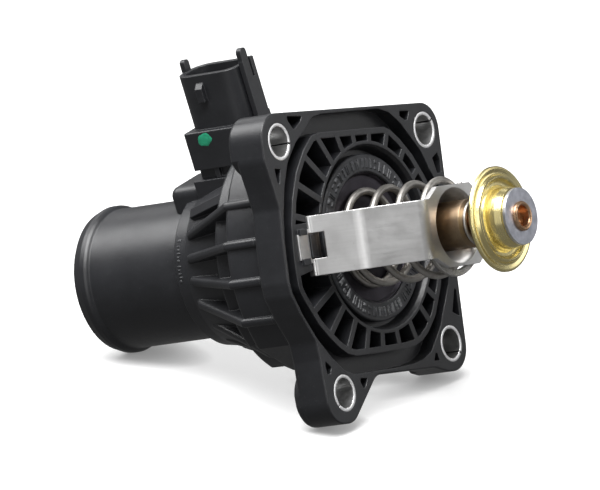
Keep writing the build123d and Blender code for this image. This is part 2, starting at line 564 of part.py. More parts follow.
plug = base + neck + tab + shroud + ear_a + (wall_b + ear_b - slot_b) + web_b + nub + (stem_s - ringcut)
plug = plug - Pos(-32.1, 0.5, 35.2) * extrude(RectangleRounded(14.8, 8.6, 3.2), amount=14.0)
plug = plug - block(-36.2, -32.4, -1.4, 1.4, 13.8, 19.6) - block(-31.6, -28.0, -1.4, 1.4, 13.8, 19.6)
plug = plug - block(-36.2, -28.0, -1.4, 1.4, 13.8, 17.2)
for tx in (-34.8, -29.2):
    plug = plug - block(tx - 0.42, tx + 0.42, -1.42, 1.42, 19.0, 36)
save(plug_frame(plug), "plug_socket")
for nm, tx in (("a", -34.8), ("b", -29.2)):
    t = block(tx - 0.4, tx + 0.4, -1.4, 1.4, 19.42, 44.0)
    t = chamfer(t.faces().sort_by(Axis.Z)[-1].edges().filter_by(Axis.Y), 0.25)
    save(plug_frame(t), "terminal_" + nm)
ring = Pos(PLUG_X, 0, 17.2) * Torus(6.05, 0.9)
save(plug_frame(ring), "socket_o_ring")
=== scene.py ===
import bpy
import bmesh
import math
import numpy as np
from mathutils import Matrix, Vector, noise


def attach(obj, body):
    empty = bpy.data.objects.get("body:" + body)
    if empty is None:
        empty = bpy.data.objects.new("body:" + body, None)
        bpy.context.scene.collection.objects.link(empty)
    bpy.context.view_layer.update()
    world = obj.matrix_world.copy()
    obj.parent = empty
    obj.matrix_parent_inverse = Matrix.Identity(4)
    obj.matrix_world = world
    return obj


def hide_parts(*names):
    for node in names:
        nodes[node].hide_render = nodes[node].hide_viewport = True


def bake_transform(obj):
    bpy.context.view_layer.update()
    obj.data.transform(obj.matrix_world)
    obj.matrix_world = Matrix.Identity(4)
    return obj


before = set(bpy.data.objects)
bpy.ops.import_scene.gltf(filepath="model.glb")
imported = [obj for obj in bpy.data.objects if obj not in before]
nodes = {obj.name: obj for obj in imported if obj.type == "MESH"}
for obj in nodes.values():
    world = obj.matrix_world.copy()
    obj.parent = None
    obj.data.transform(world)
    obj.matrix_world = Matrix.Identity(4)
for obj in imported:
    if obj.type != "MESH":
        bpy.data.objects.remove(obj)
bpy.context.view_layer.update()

MM = 0.001
scene = bpy.context.scene

# ------------------------------------------------------------------ sizes shared with the part (mm)
LUG = {"tl": (-35.2, 24.7), "tr": (26.2, 24.9), "bl": (-21.3, -36.5), "br": (26.15, -27.6)}
SLIT = {"tl": -8.0, "tr": 35.0, "bl": 225.0, "br": -35.0}
AXIS_Z = -1.6
PLUG_X, PLUG_TILT = -32.0, math.radians(16.2)


# ------------------------------------------------------------------ node helpers
class Mat:
    """A small builder for node materials. Coordinates are the row frame's, so the grain keeps one scale."""

    def __init__(self, name):
        self.m = bpy.data.materials.new(name)
        self.m.use_nodes = True
        self.t = self.m.node_tree
        self.t.nodes.clear()
        self.out = self.n("ShaderNodeOutputMaterial")
        self.bsdf = self.n("ShaderNodeBsdfPrincipled")
        self.l(self.bsdf.outputs[0], self.out.inputs["Surface"])
        self.co = self.n("ShaderNodeTexCoord").outputs["Object"]

    def n(self, kind, **kw):
        node = self.t.nodes.new(kind)
        for k, v in kw.items():
            setattr(node, k, v)
        return node

    def l(self, a, b):
        self.t.links.new(a, b)

    def put(self, socket, v):
        if isinstance(v, bpy.types.NodeSocket):
            self.l(v, socket)
        else:
            socket.default_value = v

    def noise(self, scale, detail=3.0, rough=0.55, vec=None, dist=0.0):
        n = self.n("ShaderNodeTexNoise")
        n.inputs["Scale"].default_value = scale
        n.inputs["Detail"].default_value = detail
        n.inputs["Roughness"].default_value = rough
        n.inputs["Distortion"].default_value = dist
        self.l(vec or self.co, n.inputs["Vector"])
        return n.outputs["Fac"]

    def voronoi(self, scale, feature="F1", vec=None, rand=1.0):
        n = self.n("ShaderNodeTexVoronoi", feature=feature)
        n.inputs["Scale"].default_value = scale
        n.inputs["Randomness"].default_value = rand
        self.l(vec or self.co, n.inputs["Vector"])
        return n.outputs["Distance"]

    def stretch(self, sx, sy, sz, vec=None):
        n = self.n("ShaderNodeMapping")
        n.inputs["Scale"].default_value = (sx, sy, sz)
        self.l(vec or self.co, n.inputs["Vector"])
        return n.outputs["Vector"]

    def math(self, op, a, b=0.0, clamp=False):
        n = self.n("ShaderNodeMath", operation=op, use_clamp=clamp)
        self.put(n.inputs[0], a)
        self.put(n.inputs[1], b)
        return n.outputs[0]

    def ramp(self, fac, lo, hi, a=0.0, b=1.0):
        n = self.n("ShaderNodeMapRange", clamp=True)
        self.put(n.inputs["Value"], fac)
        n.inputs["From Min"].default_value = lo
        n.inputs["From Max"].default_value = hi
        n.inputs["To Min"].default_value = a
        n.inputs["To Max"].default_value = b
        return n.outputs["Result"]

    def mix(self, fac, a, b):
        n = self.n("ShaderNodeMix", data_type="RGBA")
        self.put(n.inputs["Factor"], fac)
        self.put(n.inputs[6], a if isinstance(a, bpy.types.NodeSocket) else (*a, 1.0))
        self.put(n.inputs[7], b if isinstance(b, bpy.types.NodeSocket) else (*b, 1.0))
        return n.outputs[2]

    def xyz(self, vec=None):
        n = self.n("ShaderNodeSeparateXYZ")
        self.l(vec or self.co, n.inputs[0])
        return n.outputs

    def radius(self, cy=0.0, cz=0.0):
        """Distance from an axis along X through (cy, cz), in metres."""
        x, y, z = self.xyz()
        dy = self.math("SUBTRACT", y, cy)
        dz = self.math("SUBTRACT", z, cz)
        return self.math("SQRT", self.math("ADD", self.math("MULTIPLY", dy, dy), self.math("MULTIPLY", dz, dz)))

    def edges(self, radius=0.0004, lo=0.02, hi=0.35):
        """1 on outer and inner edges, 0 on flat ground, from the bent normal of the bevel node."""
        b = self.n("ShaderNodeBevel", samples=6)
        b.inputs["Radius"].default_value = radius
        g = self.n("ShaderNodeNewGeometry")
        d = self.n("ShaderNodeVectorMath", operation="DOT_PRODUCT")
        self.l(b.outputs[0], d.inputs[0])
        self.l(g.outputs["Normal"], d.inputs[1])
        return self.ramp(d.outputs["Value"], 1.0 - lo, 1.0 - hi)

    def bevel(self, radius, samples=6):
        b = self.n("ShaderNodeBevel", samples=samples)
        b.inputs["Radius"].default_value = radius
        return b.outputs[0]

    def bump(self, height, strength, distance, normal=None):
        b = self.n("ShaderNodeBump")
        b.inputs["Strength"].default_value = strength
        b.inputs["Distance"].default_value = distance
        self.put(b.inputs["Height"], height)
        if normal is not None:
            self.l(normal, b.inputs["Normal"])
        return b.outputs[0]

    def set(self, **kw):
        names = {"color": "Base Color", "rough": "Roughness", "metal": "Metallic", "normal": "Normal",
                 "spec": "Specular IOR Level", "coat": "Coat Weight", "coat_rough": "Coat Roughness", "ior": "IOR",
                 "aniso": "Anisotropic", "sheen": "Sheen Weight", "alpha": "Alpha"}
        for k, v in kw.items():
            s = self.bsdf.inputs[names[k]]
            if k == "color" and not isinstance(v, bpy.types.NodeSocket):
                v = (*v, 1.0)
            self.put(s, v)
        return self.m


# ------------------------------------------------------------------ materials
def black_plastic(name, base, dust_and_edge_highlight, rough=0.42, bevel=0.00035, dark=None):
    """Glass-filled nylon: dark, satin, with faint flow mottling, fine spark-eroded grain, and paler edges that are
    partly wear and partly a painted highlight.
    """
    m = Mat(name)
    cloud = m.noise(70, 4, 0.6)
    fine = m.noise(900, 3, 0.6)
    grain = m.noise(5200, 2, 0.6)
    flow = m.noise(240, 4, 0.6, m.stretch(0.35, 1.0, 1.0), 0.6)
    edge_wear_and_highlight = m.edges(0.0005, 0.03, 0.4)
    tone = m.ramp(m.math("ADD", m.math("MULTIPLY", cloud, 0.6), m.math("MULTIPLY", flow, 0.4)), 0.36, 0.66)
    col = m.mix(tone, tuple(c * 0.82 for c in base), tuple(c * 1.2 for c in base))
    speck = m.ramp(m.noise(2600, 2, 0.5), 0.66, 0.76, 0.0, 0.22)
    col = m.mix(speck, col, dust_and_edge_highlight)
    # painted highlight, partly wear: edges are mixed towards the dust colour so they read paler
    col = m.mix(m.math("MULTIPLY", edge_wear_and_highlight, 0.45), col, dust_and_edge_highlight)
    r = m.math("ADD", m.ramp(cloud, 0.3, 0.7, rough - 0.05, rough + 0.05), m.ramp(fine, 0.3, 0.7, -0.03, 0.03))
    nrm = m.bump(m.math("ADD", m.math("MULTIPLY", fine, 0.35), m.math("MULTIPLY", grain, 0.65)), 0.35, 0.00006,
                 m.bevel(bevel))
    nrm = m.bump(cloud, 0.12, 0.0006, nrm)
    return m.set(color=col, rough=r, metal=0.0, normal=nrm, ior=1.53, spec=0.5)


def steel_sheet():
    """Rolled stainless sheet: satin, with faint rolling streaks along the strip and handling marks, and edges and
    bends painted pale as a highlight.
    """
    m = Mat("stainless_sheet")
    streak = m.noise(900, 4, 0.6, m.stretch(0.10, 0.10, 2.2))
    cloud = m.noise(120, 4, 0.6)
    scratch = m.noise(1500, 2, 0.4, m.stretch(0.04, 0.07, 1.6), 0.2)
    pit = m.ramp(m.voronoi(520), 0.03, 0.10, 1.0, 0.0)
    edge_wear_and_highlight = m.edges(0.0003, 0.03, 0.4)
    col = m.mix(m.ramp(cloud, 0.35, 0.68), (0.61, 0.606, 0.602), (0.72, 0.718, 0.714))
    col = m.mix(m.math("MULTIPLY", m.ramp(streak, 0.4, 0.7), 0.16), col, (0.46, 0.455, 0.45))
    col = m.mix(m.math("MULTIPLY", pit, 0.35), col, (0.30, 0.29, 0.28))
    # painted highlight: edges and bends are mixed towards a pale steel colour
    col = m.mix(m.math("MULTIPLY", edge_wear_and_highlight, 0.4), col, (0.80, 0.79, 0.77))
    r = m.math("ADD", m.ramp(cloud, 0.3, 0.7, 0.32, 0.42), m.ramp(streak, 0.3, 0.7, -0.03, 0.04))
    nrm = m.bump(streak, 0.20, 0.00005, m.bevel(0.00030))
    nrm = m.bump(scratch, 0.10, 0.00005, nrm)
    nrm = m.bump(pit, 0.2, -0.00004, nrm)
    return m.set(color=col, rough=r, metal=0.95, normal=nrm)


def sheared_steel():
    """Sheared steel for the strip's rim: torn, bright and rough; no part wears it."""
    m = Mat("sheared_edge")
    tear = m.noise(2400, 4, 0.65, m.stretch(0.6, 1, 1))
    band = m.noise(1400, 2, 0.5)
    col = m.mix(m.ramp(tear, 0.35, 0.65), (0.42, 0.405, 0.39), (0.80, 0.79, 0.77))
    nrm = m.bump(m.math("ADD", tear, m.math("MULTIPLY", band, 0.7)), 0.7, 0.00022, m.bevel(0.00022))
    return m.set(color=col, rough=m.ramp(tear, 0.3, 0.7, 0.34, 0.55), metal=1.0, normal=nrm)


def spring_steel(name, ground):
    """Drawn wire with draw lines; the flattened end turns are ground rough."""
    m = Mat(name)
    cloud = m.noise(420, 4, 0.6)
    line = m.noise(2600, 3, 0.6, m.stretch(2.0, 0.5, 0.5))
    col = m.mix(m.ramp(cloud, 0.35, 0.7), (0.36, 0.343, 0.32), (0.50, 0.483, 0.455))
    col = m.mix(m.math("MULTIPLY", m.ramp(m.noise(1500, 3, 0.6), 0.58, 0.72), 0.40), col, (0.22, 0.175, 0.135))
    grit = m.noise(3000, 4, 0.7)
    if ground is not None:
        x = m.xyz()[0]
        face = m.math("MAXIMUM", m.ramp(x, ground[1] - 0.00034, ground[1] - 0.00024),
                      m.ramp(x, ground[0] + 0.00006, ground[0] + 0.00002))
        col = m.mix(face, col, m.mix(m.ramp(grit, 0.35, 0.65), (0.40, 0.39, 0.375), (0.86, 0.85, 0.83)))
        nrm = m.bump(m.math("MULTIPLY", grit, face), 0.9, 0.0003)
        nrm = m.bump(line, 0.22, 0.00005, nrm)
        r = m.math("ADD", m.ramp(cloud, 0.3, 0.7, 0.38, 0.50), m.math("MULTIPLY", face, 0.04))
    else:
        nrm = m.bump(line, 0.22, 0.00005)
        r = m.ramp(cloud, 0.3, 0.7, 0.32, 0.44)
    return m.set(color=col, rough=r, metal=1.0, normal=nrm)


def turned_metal(name, dark, light, rough=(0.24, 0.36), ring=5200.0, depth=0.00003, cy=0.0, cz=0.0, mottle=260,
                 stain=None, bevel=0.0002, edge_highlight_col=None, metal=1.0, front_rim_highlight=None):
    """Metal with fine turning or spinning rings about an axis along X, and a little mottling. The edge colour and the
    front face colour are painted highlights.
    """
    m = Mat(name)
    rad = m.radius(cy, cz)
    x, y, z = m.xyz()
    comb = m.n("ShaderNodeCombineXYZ")
    m.l(rad, comb.inputs[0])
    m.l(x, comb.inputs[1])
    lines = m.noise(ring, 3, 0.7, comb.outputs[0])
    cloud = m.noise(mottle, 4, 0.6)
    col = m.mix(m.ramp(cloud, 0.34, 0.68), dark, light)
    col = m.mix(m.math("MULTIPLY", m.ramp(lines, 0.4, 0.7), 0.16), col, tuple(c * 0.72 for c in dark))
    if stain:
        spots = m.ramp(m.noise(mottle * 2.6, 4, 0.65, None, 0.8), 0.56, 0.72)
        col = m.mix(m.math("MULTIPLY", spots, stain[1]), col, stain[0])
    # painted highlight: edges are mixed towards the given pale edge colour
    if edge_highlight_col:
        col = m.mix(m.math("MULTIPLY", m.edges(0.0003, 0.03, 0.4), 0.5), col, edge_highlight_col)
    # painted highlight: faces in front of the given x are painted the given near-white colour
    if front_rim_highlight:
        col = m.mix(m.ramp(x, front_rim_highlight[0], front_rim_highlight[0] + 0.0001), col, front_rim_highlight[1])
    r = m.math("ADD", m.ramp(cloud, 0.3, 0.7, rough[0], rough[1]), m.ramp(lines, 0.3, 0.7, -0.02, 0.03))
    nrm = m.bump(lines, 0.30, depth, m.bevel(bevel) if bevel else None)
    nrm = m.bump(cloud, 0.05, 0.0004, nrm)
    return m.set(color=col, rough=r, metal=metal, normal=nrm)


def rubber(name, base, dust_and_edge_highlight, rough=0.55, bevel=0.0002, dusty=0.5):
    m = Mat(name)
    cloud = m.noise(160, 5, 0.65)
    fine = m.noise(1500, 3, 0.6)
    edge_wear_and_highlight = m.edges(0.0003, 0.03, 0.4)
    bloom = m.math("MULTIPLY", m.ramp(m.math("ADD", m.math("MULTIPLY", cloud, 0.7), m.math("MULTIPLY", fine, 0.3)), 0.42, 0.62), dusty)
    col = m.mix(bloom, base, dust_and_edge_highlight)
    # painted highlight, partly wear: edges are mixed towards the dust colour so they read paler
    col = m.mix(m.math("MULTIPLY", edge_wear_and_highlight, 0.3), col, dust_and_edge_highlight)
    nrm = m.bump(fine, 0.3, 0.00008, m.bevel(bevel))
    return m.set(color=col, rough=m.ramp(cloud, 0.3, 0.7, rough - 0.07, rough + 0.08), metal=0.0, normal=nrm, ior=1.52)


def worn_marks():
    """Raised marks on the lip: chalky where they have rubbed, as dark as the rubber elsewhere."""
    m = Mat("seal_marks_worn")
    patch = m.ramp(m.noise(95, 3, 0.6), 0.50, 0.62)
    fine = m.noise(1700, 3, 0.6)
    chalk = m.mix(m.ramp(fine, 0.38, 0.62), (0.085, 0.088, 0.095), (0.30, 0.305, 0.315))
    dark = m.mix(m.ramp(fine, 0.40, 0.66), (0.014, 0.0145, 0.017), (0.050, 0.052, 0.058))
    col = m.mix(patch, dark, chalk)
    return m.set(color=col, rough=m.ramp(fine, 0.3, 0.7, 0.46, 0.60), metal=0.0, normal=m.bump(fine, 0.3, 0.00008, m.bevel(0.00012)), ior=1.52)


def paint(name, base):
    m = Mat(name)
    n1 = m.noise(900, 3, 0.6)
    col = m.mix(m.ramp(n1, 0.35, 0.65), tuple(c * 0.82 for c in base), tuple(min(1, c * 1.15) for c in base))
    return m.set(color=col, rough=m.ramp(n1, 0.3, 0.7, 0.30, 0.42), metal=0.0, normal=m.bump(n1, 0.25, 0.0001), ior=1.48)


PLASTIC = black_plastic("housing_plastic", (0.0125, 0.013, 0.015), (0.092, 0.094, 0.10), 0.38)
SOCKET_PLASTIC = black_plastic("socket_plastic", (0.014, 0.0145, 0.0165), (0.090, 0.092, 0.098), 0.37)
# painted highlight: the raised ticks are the housing's plastic painted lighter, as they catch the light
TICKS_PAINTED_LIGHTER = black_plastic("tick_plastic_painted_lighter", (0.030, 0.031, 0.034), (0.20, 0.205, 0.215), 0.36)
SHEET = steel_sheet()
SHEARED = sheared_steel()
# painted highlight: the sleeves' edges and front rim face are painted near white
SLEEVE_STEEL = turned_metal("sleeve_steel", (0.36, 0.36, 0.358), (0.50, 0.50, 0.498), (0.28, 0.38), 3800, 0.00003,
                            mottle=300, stain=((0.25, 0.245, 0.235), 0.30), edge_highlight_col=(0.96, 0.96, 0.96), metal=0.90,
                            front_rim_highlight=(-0.00028, (0.93, 0.93, 0.935)))
MAIN_SPRING = spring_steel("spring_steel", (-2.58 * MM, 22.48 * MM))
BY_SPRING = spring_steel("relief_spring_steel", (28.94 * MM, 40.84 * MM))
PLATE_STEEL = turned_metal("plate_steel", (0.034, 0.031, 0.037), (0.064, 0.059, 0.069), (0.36, 0.48), 2600, 0.00004,
                           mottle=150, stain=((0.034, 0.031, 0.034), 0.5))
SEAL_RUBBER = rubber("seal_rubber", (0.009, 0.0095, 0.0115), (0.050, 0.053, 0.060), 0.46)
SEAL_MARKS = worn_marks()
# the pale edge colours given to the metals below are painted edge highlights
CASE_METAL = turned_metal("element_bronze", (0.235, 0.165, 0.105), (0.36, 0.27, 0.175), (0.28, 0.38), 3000, 0.00003,
                          mottle=150, stain=((0.15, 0.095, 0.058), 0.35), edge_highlight_col=(0.60, 0.46, 0.32))
BRASS = turned_metal("disc_brass", (0.87, 0.735, 0.335), (0.94, 0.835, 0.455), (0.22, 0.29), 4200, 0.000015,
                     mottle=90, stain=((0.70, 0.54, 0.22), 0.14), edge_highlight_col=(0.98, 0.92, 0.66))
GUIDE_BRASS = turned_metal("guide_brass", (0.55, 0.43, 0.20), (0.70, 0.58, 0.30), (0.26, 0.36), 3600, 0.00003)
ZINC = turned_metal("washer_zinc", (0.43, 0.445, 0.50), (0.58, 0.59, 0.655), (0.30, 0.42), 2400, 0.00003,
                    mottle=520, stain=((0.33, 0.33, 0.38), 0.5), edge_highlight_col=(0.78, 0.79, 0.84))
COPPER = turned_metal("stem_copper", (0.52, 0.31, 0.175), (0.72, 0.475, 0.30), (0.24, 0.34), 4200, 0.00003,
                      mottle=420, stain=((0.24, 0.125, 0.07), 0.45), edge_highlight_col=(0.92, 0.70, 0.50))
GROUND_STEEL = turned_metal("piston_steel", (0.55, 0.545, 0.53), (0.66, 0.655, 0.64), (0.18, 0.26), 4800, 0.00002)
TINNED = turned_metal("terminal_tin", (0.60, 0.59, 0.56), (0.72, 0.71, 0.68), (0.28, 0.38), 2200, 0.00002)
LEAD_COPPER = turned_metal("lead_copper", (0.55, 0.30, 0.18), (0.72, 0.44, 0.29), (0.26, 0.36), 3000, 0.00002)
WAX = rubber("wax_filled", (0.22, 0.12, 0.07), (0.32, 0.20, 0.12), 0.6)
BAG_RUBBER = rubber("bag_rubber", (0.014, 0.014, 0.016), (0.05, 0.05, 0.055), 0.55)
O_RING = rubber("o_ring_rubber", (0.012, 0.045, 0.026), (0.05, 0.09, 0.07), 0.40)
GREEN = paint("green_paint", (0.020, 0.27, 0.145))


def wear(node, mat, bump_angle=math.radians(32)):
    """Puts one material on every slot of a carried-over CAD node."""
    o = nodes[node]
    me = o.data
    if not me.materials:
        me.materials.append(mat)
    for i in range(len(me.materials)):
        me.materials[i] = mat
    return o


for n, mat in {
    "housing": PLASTIC, "housing_spigot": PLASTIC, "housing_flange": PLASTIC, "plug_socket": SOCKET_PLASTIC, "bridge_bracket": SHEET, "valve_plate": PLATE_STEEL,
    "valve_seal": SEAL_RUBBER, "element_case": CASE_METAL, "element_guide": GUIDE_BRASS, "rubber_sleeve": BAG_RUBBER,
    "wax_charge": WAX, "piston_tube": GROUND_STEEL, "heater_rod": GROUND_STEEL, "heater_lead_a": LEAD_COPPER,
    "heater_lead_b": LEAD_COPPER, "terminal_a": TINNED, "terminal_b": TINNED, "stem_rivet": COPPER,
    "stem_washer": ZINC, "bypass_disc": BRASS, "socket_o_ring": O_RING,
    "bolt_sleeve_tl": SLEEVE_STEEL, "bolt_sleeve_tr": SLEEVE_STEEL, "bolt_sleeve_bl": SLEEVE_STEEL,
    "bolt_sleeve_br": SLEEVE_STEEL, "main_spring": MAIN_SPRING, "bypass_spring": BY_SPRING,
}.items():
    wear(n, mat)


# ------------------------------------------------------------------ mesh helpers
def mesh_object(name, verts, faces, mat, smooth=True):
    """verts in millimetres, in the row frame."""
    me = bpy.data.meshes.new(name)
    me.from_pydata([tuple(c * MM for c in v) for v in verts], [], faces)
    me.validate()
    me.update()
    o = bpy.data.objects.new(name, me)
    scene.collection.objects.link(o)
    me.materials.append(mat)
    if smooth:
        me.polygons.foreach_set("use_smooth", [True] * len(me.polygons))
    return o


def smooth_by_angle(o, angle=35.0):
    bm = bmesh.new()
    bm.from_mesh(o.data)
    bmesh.ops.recalc_face_normals(bm, faces=bm.faces)
    lim = math.radians(angle)
    for f in bm.faces:
        f.smooth = True
    for e in bm.edges:
        e.smooth = len(e.link_faces) == 2 and e.calc_face_angle(0.0) < lim
    bm.to_mesh(o.data)
    bm.free()


def helix_tube(name, r, wire, x0, x1, turns, start_deg, dead, ratio, lo, hi, mat, around=18, per_turn=90):
    """A compression spring with close end turns, cut flat at x = lo and x = hi as the grinder leaves it."""
    n = int(turns * per_turn)

    def slope(t):
        a = min(max((t - dead) / 0.45, 0.0), 1.0)
        b = min(max((turns - dead - t) / 0.45, 0.0), 1.0)
        s = min(a, b)
        s = s * s * (3 - 2 * s)
        return 1.0 + (ratio - 1.0) * s

    xs = [0.0]
    for i in range(n):
        xs.append(xs[-1] + slope((i + 0.5) * turns / n))
    k = (x1 - x0) / xs[-1]
    path = []
    for i in range(n + 1):
        a = math.radians(start_deg) + 2 * math.pi * turns * i / n
        path.append(Vector((x0 + xs[i] * k, r * math.cos(a), r * math.sin(a))))
    verts, faces = [], []
    rows = []
    for i in range(n + 1):
        p = path[i]
        t = (path[min(i + 1, n)] - path[max(i - 1, 0)]).normalized()
        out = Vector((0, p.y, p.z)).normalized()
        side = t.cross(out).normalized()
        out = side.cross(t).normalized()
        rows.append((p, t, out, side, 1.0))
    first, last = rows[0], rows[-1]
    head = [(first[0] - first[1] * wire * d, *first[1:4], s) for d, s in ((0.10, 0.78), (0.06, 0.92))]
    tail = [(last[0] + last[1] * wire * d, *last[1:4], s) for d, s in ((0.06, 0.92), (0.10, 0.78))]
    for p, t, out, side, s in head + rows + tail:
        for j in range(around):
            a = 2 * math.pi * j / around
            v = p + (out * math.cos(a) + side * math.sin(a)) * wire * s
            if v.x > hi:
                v.x = hi - 0.22 * max(0.0, 0.30 + noise.noise(Vector((5.0, v.y * 2.6, v.z * 2.6)))) * min(1.0, (v.x - hi) * 6)
            if v.x < lo:
                v.x = lo
            verts.append(tuple(v))
    m = len(head) + len(rows) + len(tail)
    for i in range(m - 1):
        for j in range(around):
            a, b = i * around + j, i * around + (j + 1) % around
            faces.append((a, b, b + around, a + around))
    faces.append(tuple(range(around))[::-1])
    faces.append(tuple(range((m - 1) * around, m * around)))
    o = mesh_object(name, verts, faces, mat)
    smooth_by_angle(o, 38)
    return o


def lathe(name, profile, mat, cy=0.0, cz=0.0, segs=96, a0=0.0, a1=360.0, closed=True):
    """Turns a closed (x, radius) outline about an axis along X. A part turn gets end faces."""
    full = abs(a1 - a0 - 360.0) < 1e-6
    k = segs if full else segs + 1
    verts, faces = [], []
    n = len(profile)
    for i in range(k):
        a = math.radians(a0 + (a1 - a0) * i / segs)
        for x, r in profile:
            verts.append((x, cy + r * math.cos(a), cz + r * math.sin(a)))
    for i in range(segs):
        i2 = (i + 1) % k
        for j in range(n):
            j2 = (j + 1) % n
            faces.append((i * n + j, i * n + j2, i2 * n + j2, i2 * n + j))
    if not full:
        faces.append(tuple(range(n)))
        faces.append(tuple(range((k - 1) * n, k * n))[::-1])
    o = mesh_object(name, verts, faces, mat)
    return o


def round_profile(points, steps=4):
    """Rounds the corners of a closed (x, r, radius) outline."""
    out = []
    n = len(points)
    for i in range(n):
        p0, p, p1 = (Vector(points[(i - 1) % n][:2]), Vector(points[i][:2]), Vector(points[(i + 1) % n][:2]))
        rad = points[i][2]
        if rad <= 0:
            out.append(tuple(p))
            continue
        a, b = (p0 - p).normalized(), (p1 - p).normalized()
        ang = a.angle(b)
        d = rad / math.tan(ang / 2)
        d = min(d, (p0 - p).length * 0.49, (p1 - p).length * 0.49)
        rad = d * math.tan(ang / 2)
        c = p + (a + b).normalized() * (rad / math.sin(ang / 2))
        s, e = p + a * d - c, p + b * d - c
        for q in range(steps + 1):
            t = q / steps
            w = s * (1 - t) + e * t
            out.append(tuple(c + w.normalized() * s.length))
    return out


# ------------------------------------------------------------------ springs
spring = helix_tube("main_spring_coil", 11.3, 0.9, -2.10, 22.00, 4.6, 204, 0.55, 14, -2.58, 22.48, MAIN_SPRING,
                    around=30, per_turn=160)
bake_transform(spring)
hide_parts("main_spring")

relief = helix_tube("relief_spring_coil", 5.2, 0.42, 29.20, 40.58, 5.0, 40, 0.7, 3.4, 28.94, 40.84, BY_SPRING,
                    around=16, per_turn=72)
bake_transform(relief)
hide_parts("bypass_spring")

# ------------------------------------------------------------------ split sleeves with chamfered mouths
for key, (cy, cz) in LUG.items():
    half = math.degrees(0.225 / 4.0)
    prof = round_profile([(-10.2, 3.65, 0.15), (-10.2, 4.5, 0.15), (0.0, 4.5, 0.10), (0.0, 3.65, 0.14)], 3)
    s = lathe("sleeve_" + key, prof, SLEEVE_STEEL, cy, cz, 84, SLIT[key] + half, SLIT[key] + 360 - half)
    smooth_by_angle(s, 50)
    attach(s, "housing_body")
    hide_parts("bolt_sleeve_" + key)


# ------------------------------------------------------------------ rubber lip of the valve, with plain moulded marks
def lip_marks():
    """Raised plain bars round the lip, as moulded marks that say nothing."""
    verts, faces = [], []
    rng = np.random.RandomState(7)

    def bar(a_mid, width_deg, r0, r1, x0, x1, skew=0.0):
        base = len(verts)
        segs = 3
        ring = []
        for k, (rr, xx, inset) in enumerate(((r0, x0, 0), (r0, x1, 0.14), (r1, x1, 0.14), (r1, x0, 0))):
            for q in range(segs + 1):
                t = q / segs - 0.5
                rad = rr + (0.10 if k == 1 else -0.10 if k == 2 else 0)
                w = width_deg - 2 * math.degrees(inset / rad)
                a = math.radians(a_mid + t * w + skew * (rr - 18.0))
                verts.append((xx, rad * math.cos(a), rad * math.sin(a)))
        n = segs + 1
        for k in range(3):
            for q in range(segs):
                a, b = base + k * n + q, base + k * n + q + 1
                faces.append((a, b, b + n, a + n))
        faces.append(tuple(base + k * n for k in (3, 2, 1, 0)))
        faces.append(tuple(base + k * n + segs for k in (0, 1, 2, 3)))

    for c0, c1 in ((22, 158), (200, 338)):
        a = c0
        while a < c1:
            w = 2.4 + 2.6 * rng.rand()
            gap = 1.9 + 1.4 * rng.rand()
            kind = rng.randint(0, 3)
            mid = a + w / 2
            if kind == 0:
                bar(mid, w, 16.9, 19.3, -1.215, -0.93)
            elif kind == 1:
                bar(mid, w * 0.42, 16.9, 19.3, -1.215, -0.93)
                bar(mid + w * 0.55, w * 0.36, 16.9, 19.3, -1.215, -0.93)
            else:
                bar(mid, w, 16.9, 17.7, -1.215, -0.93)
                bar(mid, w, 18.5, 19.3, -1.215, -0.93)
            a += w + gap
    o = mesh_object("lip_marks", verts, faces, SEAL_MARKS, smooth=False)
    smooth_by_angle(o, 30)
    return o


marks = lip_marks()
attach(marks, "valve")


# ------------------------------------------------------------------ moulded ticks beside the collar's edge
def collar_ticks():
    """A short row of raised ticks along the collar, on the side of the bolt lug."""
    verts, faces = [], []
    a = 159.8
    k = 0
    while a < 189.5:
        w = 1.25 if k % 5 else 1.9
        long = 1.15 if k % 3 == 0 else 0.75
        x0 = -45.55
        ring = []
        for x, lift in ((x0, -0.06), (x0 + 0.06, 0.11), (x0 + long - 0.06, 0.11), (x0 + long, -0.06)):
            for t in (-0.5, 0.5):
                r = 19.6 + (x + 46.3) * 0.143 + lift
                q = math.radians(a + t * w * (1.0 if lift < 0 else 0.8))
                verts.append((x, r * math.cos(q), AXIS_Z + r * math.sin(q)))
        b = len(verts) - 8
        for i in range(3):
            faces.append((b + 2 * i, b + 2 * i + 1, b + 2 * i + 3, b + 2 * i + 2))
        faces.append((b, b + 2, b + 4, b + 6))
        faces.append((b + 7, b + 5, b + 3, b + 1))
        a += w + (1.35 if k % 5 else 2.1)
        k += 1
    o = mesh_object("collar_ticks", verts, faces, TICKS_PAINTED_LIGHTER, smooth=False)
    smooth_by_angle(o, 30)
    return o


ticks = collar_ticks()
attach(ticks, "housing_body")


# ------------------------------------------------------------------ green paint dot on the socket
def plug_point(x, y, z):
    """From the socket's own frame (z outwards) to the row frame."""
    c, s = math.cos(PLUG_TILT), math.sin(PLUG_TILT)
    return (x, y * c - z * s, y * s + z * c)


